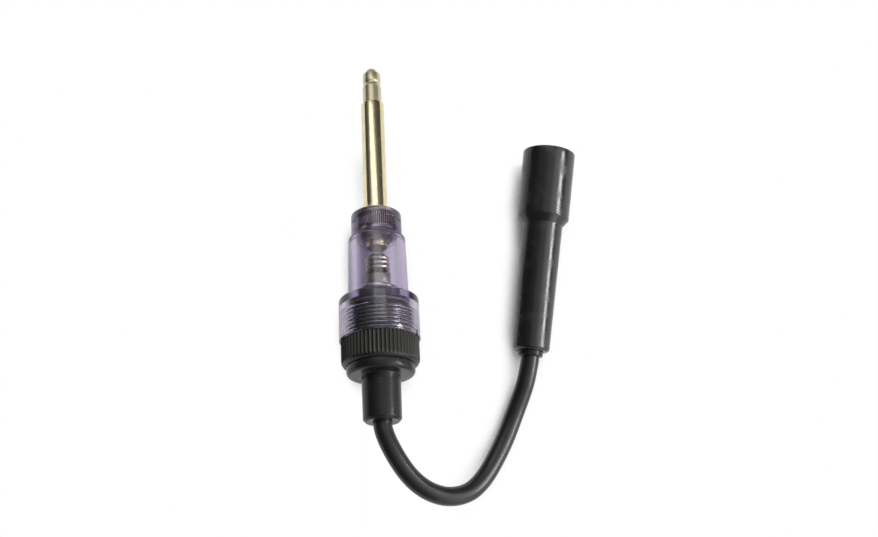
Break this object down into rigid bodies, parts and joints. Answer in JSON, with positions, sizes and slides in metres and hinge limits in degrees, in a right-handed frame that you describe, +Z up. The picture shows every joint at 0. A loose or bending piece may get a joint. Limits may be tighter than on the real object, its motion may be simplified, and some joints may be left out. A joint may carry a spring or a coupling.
{
  "type": "in-line spark plug tester",
  "caption": "In-line ignition spark tester: plated terminal rod in a clear spark chamber, ribbed screw cap, short lead and rubber plug boot.",
  "frame": {"origin": "on the table, under the middle of the tester's own box, without the lead and the boot", "axes": "+Y towards the terminal tip, +X to the side where the boot lies, +Z up from the table"},
  "size_m": [0.082, 0.1554, 0.0279],
  "materials": {
    "plated_rod": "yellow-plated turned steel",
    "clear_plastic": "clear plastic with a smoky purple tint",
    "cap_plastic": "black moulded plastic, satin",
    "carrier_plastic": "black moulded insulator",
    "post_brass": "turned brass",
    "bright_steel": "bright plated steel",
    "spring_steel": "plated spring steel",
    "sleeve_rubber": "black rubber, smooth",
    "crimp_metal": "tinned brass",
    "conductor": "stranded copper",
    "lead_jacket": "matt black jacket",
    "boot_rubber": "glossy black rubber"
  },
  "bodies": {
    "barrel": {"clear_barrel": "clear_plastic", "terminal_rod": "plated_rod"},
    "cable_end": {"electrode_carrier": "carrier_plastic", "electrode_post": "post_brass", "post_nut": "bright_steel", "base_washer": "bright_steel", "post_washer": "bright_steel", "spring_collar": "spring_steel", "contact_spring": "spring_steel", "strain_relief": "sleeve_rubber", "cable_ferrule": "crimp_metal", "conductor_cap_end": "conductor", "lead_cap_end": "lead_jacket", "lead": "lead_jacket", "plug_boot": "boot_rubber", "boot_bush": "sleeve_rubber", "lead_boot_end": "lead_jacket", "conductor_boot_end": "conductor", "plug_terminal": "crimp_metal", "terminal_ring": "bright_steel"},
    "cap": {"knurled_cap": "cap_plastic"}
  },
  "joints": [
    {"name": "cap_draw", "type": "slide", "parent": "barrel", "child": "cable_end", "axis": [0, -0.9935, 0.1137], "range_m": [0, 0.0078]},
    {"name": "cap_turn", "type": "hinge", "parent": "cable_end", "child": "cap", "pos_m": [0, -0.03783, 0.0145], "axis": [0, -0.9935, 0.1137], "range_deg": [0, 2160.1]}
  ],
  "couplings": [
    {"joint": "cap_turn", "follows": "cap_draw", "rad_per_m": 4833.2}
  ]
}
